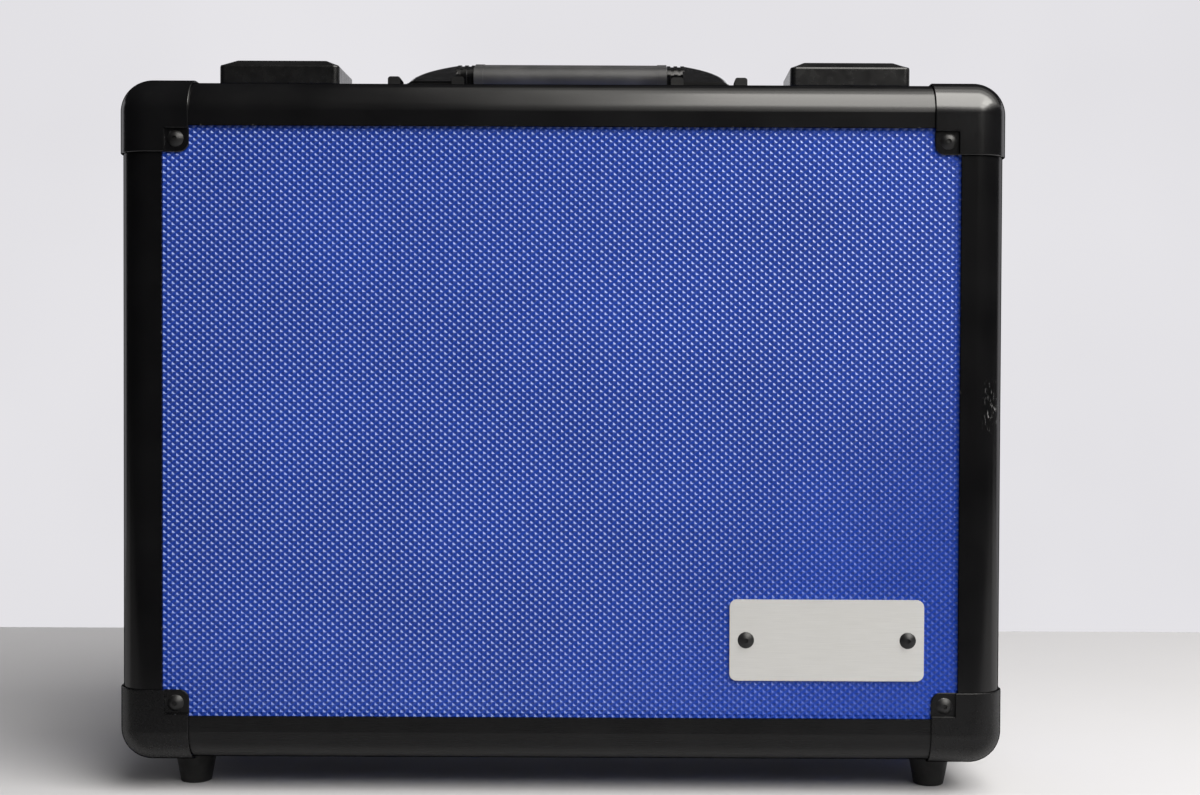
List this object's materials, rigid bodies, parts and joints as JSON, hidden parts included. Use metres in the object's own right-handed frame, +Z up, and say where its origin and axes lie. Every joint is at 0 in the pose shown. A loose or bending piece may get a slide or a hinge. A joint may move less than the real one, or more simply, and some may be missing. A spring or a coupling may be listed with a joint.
{
  "type": "travel case",
  "caption": "Flat hard case with textured panels in a black rail frame, riveted corner caps, rubber feet, hinged lid, lockable flap latches and a swing handle.",
  "frame": {"origin": "on the floor under the middle of the case, which stands on its feet", "axes": "+X to the viewer's right along the case's width, +Y from the lid to the back, +Z up"},
  "size_m": [0.4344, 0.1524, 0.3765],
  "materials": {
    "blue_panel": "textured sheet with small raised diamonds",
    "black_rail": "black satin coat on extruded section",
    "black_fitting": "black coated pressed steel",
    "rivet_black": "black dome rivet",
    "flap_black": "moulded, satin black",
    "handle_plastic": "moulded, satin black",
    "grip_plastic": "soft black grip",
    "foot_rubber": "black rubber",
    "bare_plate": "brushed, bare",
    "steel_pin": "plain steel",
    "lock_metal": "bright nickel",
    "foam": "dark open-cell foam"
  },
  "bodies": {
    "base": {"base_corner_bottom_left": "black_fitting", "base_corner_bottom_right": "black_fitting", "base_corner_rails": "black_rail", "base_corner_top_left": "black_fitting", "base_corner_top_right": "black_fitting", "base_edge_bottom": "black_rail", "base_edge_left": "black_rail", "base_edge_right": "black_rail", "base_edge_top": "black_rail", "base_feet": "foot_rubber", "base_foam_dividers": "foam", "base_foam_floor": "foam", "base_foam_sides": "foam", "base_hinge_left": "black_fitting", "base_hinge_right": "black_fitting", "base_panel": "blue_panel", "base_rim": "black_rail", "base_rivets": "rivet_black", "base_wall_bottom": "blue_panel", "base_wall_left": "blue_panel", "base_wall_right": "blue_panel", "base_wall_top": "blue_panel", "handle_bracket_left": "black_fitting", "handle_bracket_right": "black_fitting", "handle_pins": "steel_pin", "hinge_pins": "steel_pin", "latch_mount_left": "black_fitting", "latch_mount_right": "black_fitting", "latch_pins": "steel_pin"},
    "handle": {"handle_bow": "handle_plastic", "handle_grip": "grip_plastic"},
    "latch_left": {"latch_flap_left": "flap_black"},
    "latch_right": {"latch_flap_right": "flap_black"},
    "lid": {"latch_keeper_left": "black_fitting", "latch_keeper_right": "black_fitting", "lid_corner_bottom_left": "black_fitting", "lid_corner_bottom_right": "black_fitting", "lid_corner_rails": "black_rail", "lid_corner_top_left": "black_fitting", "lid_corner_top_right": "black_fitting", "lid_edge_bottom": "black_rail", "lid_edge_left": "black_rail", "lid_edge_right": "black_rail", "lid_edge_top": "black_rail", "lid_feet": "foot_rubber", "lid_foam": "foam", "lid_hinge_left": "black_fitting", "lid_hinge_right": "black_fitting", "lid_panel": "blue_panel", "lid_rim": "black_rail", "lid_rivets": "rivet_black", "lid_wall_bottom": "blue_panel", "lid_wall_left": "blue_panel", "lid_wall_right": "blue_panel", "lid_wall_top": "blue_panel", "nameplate": "bare_plate"},
    "lock_left": {"lock_cylinder_left": "lock_metal"},
    "lock_right": {"lock_cylinder_right": "lock_metal"}
  },
  "joints": [
    {"name": "lid_hinge", "type": "hinge", "parent": "base", "child": "lid", "pos_m": [0, -0.027, 0.0128], "axis": [1, 0, 0], "range_deg": [0, 100]},
    {"name": "latch_left_lift", "type": "hinge", "parent": "base", "child": "latch_left", "pos_m": [-0.143, -0.0112, 0.3542], "axis": [-1, 0, 0], "range_deg": [0, 100]},
    {"name": "lock_left_turn", "type": "hinge", "parent": "latch_left", "child": "lock_left", "pos_m": [-0.143, -0.0245, 0.36], "axis": [0, 0, 1], "range_deg": [0, 90]},
    {"name": "latch_right_lift", "type": "hinge", "parent": "base", "child": "latch_right", "pos_m": [0.143, -0.0112, 0.3542], "axis": [-1, 0, 0], "range_deg": [0, 100]},
    {"name": "lock_right_turn", "type": "hinge", "parent": "latch_right", "child": "lock_right", "pos_m": [0.143, -0.0245, 0.36], "axis": [0, 0, 1], "range_deg": [0, 90]},
    {"name": "handle_swing", "type": "hinge", "parent": "base", "child": "handle", "pos_m": [0, -0.004, 0.3544], "axis": [1, 0, 0], "range_deg": [0, 140]}
  ]
}
